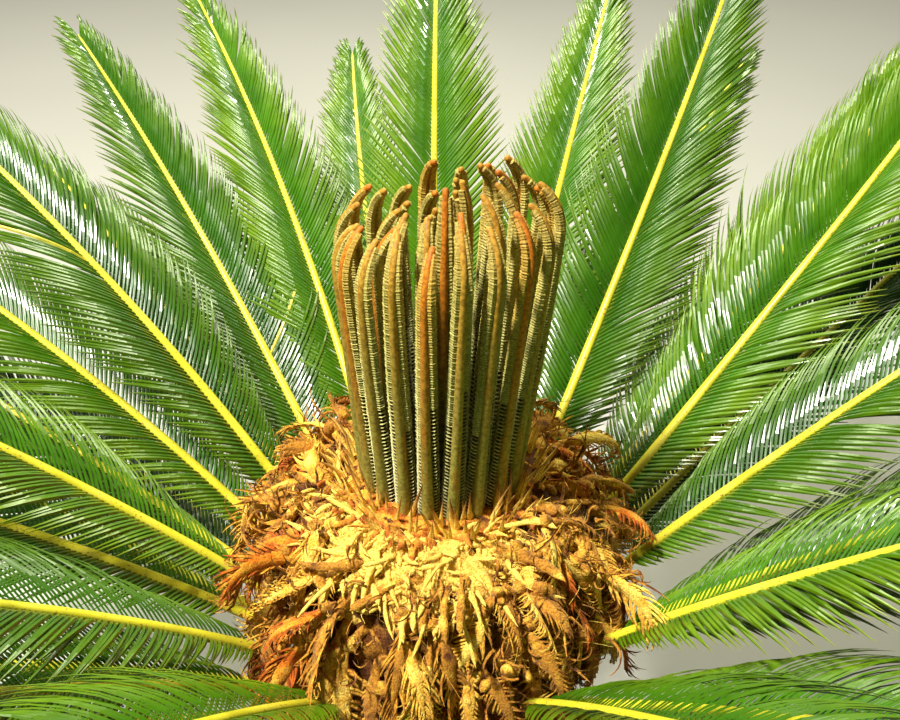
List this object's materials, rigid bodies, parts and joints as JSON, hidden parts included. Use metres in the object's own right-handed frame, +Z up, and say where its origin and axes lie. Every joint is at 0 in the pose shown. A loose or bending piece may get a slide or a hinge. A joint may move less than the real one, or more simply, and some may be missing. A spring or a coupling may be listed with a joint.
{
  "type": "sago palm plant",
  "caption": "Rooted female sago palm with a rosette of arching feather leaves, a woolly dome of seed scales and an upright flush of unopened young leaves.",
  "frame": {"origin": "centre of the flat cut under the trunk, at ground level", "axes": "+Z up, +X to the right and +Y away from a viewer standing at the front of the plant"},
  "size_m": [1.8226, 1.7763, 1.1264],
  "materials": {
    "bark": "rough",
    "wool": "woolly",
    "scale_leaf": "woolly",
    "young_leaf": "matt",
    "leaf": "glossy"
  },
  "bodies": {
    "root": {"frond_lower_1": "leaf", "frond_lower_2": "leaf", "frond_lower_3": "leaf", "frond_lower_4": "leaf", "frond_lower_5": "leaf", "frond_lower_6": "leaf", "frond_lower_7": "leaf", "frond_middle_1": "leaf", "frond_middle_10": "leaf", "frond_middle_11": "leaf", "frond_middle_12": "leaf", "frond_middle_2": "leaf", "frond_middle_3": "leaf", "frond_middle_4": "leaf", "frond_middle_5": "leaf", "frond_middle_6": "leaf", "frond_middle_7": "leaf", "frond_middle_8": "leaf", "frond_middle_9": "leaf", "frond_spreading_1": "leaf", "frond_spreading_10": "leaf", "frond_spreading_11": "leaf", "frond_spreading_12": "leaf", "frond_spreading_2": "leaf", "frond_spreading_3": "leaf", "frond_spreading_4": "leaf", "frond_spreading_5": "leaf", "frond_spreading_6": "leaf", "frond_spreading_7": "leaf", "frond_spreading_8": "leaf", "frond_spreading_9": "leaf", "frond_upper_1": "leaf", "frond_upper_10": "leaf", "frond_upper_11": "leaf", "frond_upper_12": "leaf", "frond_upper_2": "leaf", "frond_upper_3": "leaf", "frond_upper_4": "leaf", "frond_upper_5": "leaf", "frond_upper_6": "leaf", "frond_upper_7": "leaf", "frond_upper_8": "leaf", "frond_upper_9": "leaf", "seed_head_1": "scale_leaf", "seed_head_2": "scale_leaf", "seed_head_3": "scale_leaf", "seed_head_4": "scale_leaf", "seed_head_5": "scale_leaf", "seed_head_6": "scale_leaf", "trunk": "bark", "wool_cushion": "wool", "young_fronds_inner_1": "young_leaf", "young_fronds_middle_1": "young_leaf", "young_fronds_middle_2": "young_leaf", "young_fronds_middle_3": "young_leaf", "young_fronds_outer_1": "young_leaf", "young_fronds_outer_2": "young_leaf", "young_fronds_outer_3": "young_leaf", "young_fronds_outer_4": "young_leaf", "young_fronds_outer_5": "young_leaf"}
  },
  "joints": []
}
